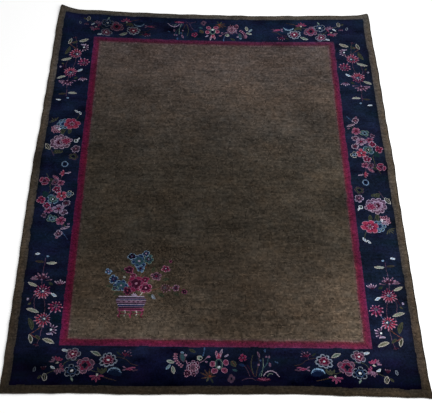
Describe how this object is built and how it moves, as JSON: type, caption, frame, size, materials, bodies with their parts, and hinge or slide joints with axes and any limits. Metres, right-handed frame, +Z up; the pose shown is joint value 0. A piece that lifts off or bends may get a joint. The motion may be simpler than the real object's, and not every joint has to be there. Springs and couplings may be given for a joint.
{
  "type": "chinese rug",
  "caption": "Room-size flat carpet with a plain field, a dark flowered border and a narrow inner stripe, lying with softly waved edges.",
  "frame": {"origin": "on the floor, under the middle of the outline's bounding box", "axes": "+X across the width, +Y along the length towards the far end, away from the end that has the bowl of flowers, +Z up out of the pile"},
  "size_m": [2.7656, 3.7184, 0.0165],
  "materials": {
    "wool_pile": "short worn wool pile, olive-brown ground with a dark blue flowered border and a magenta inner stripe, matt with a faint sheen"
  },
  "bodies": {
    "root": {"rug": "wool_pile"}
  },
  "joints": []
}
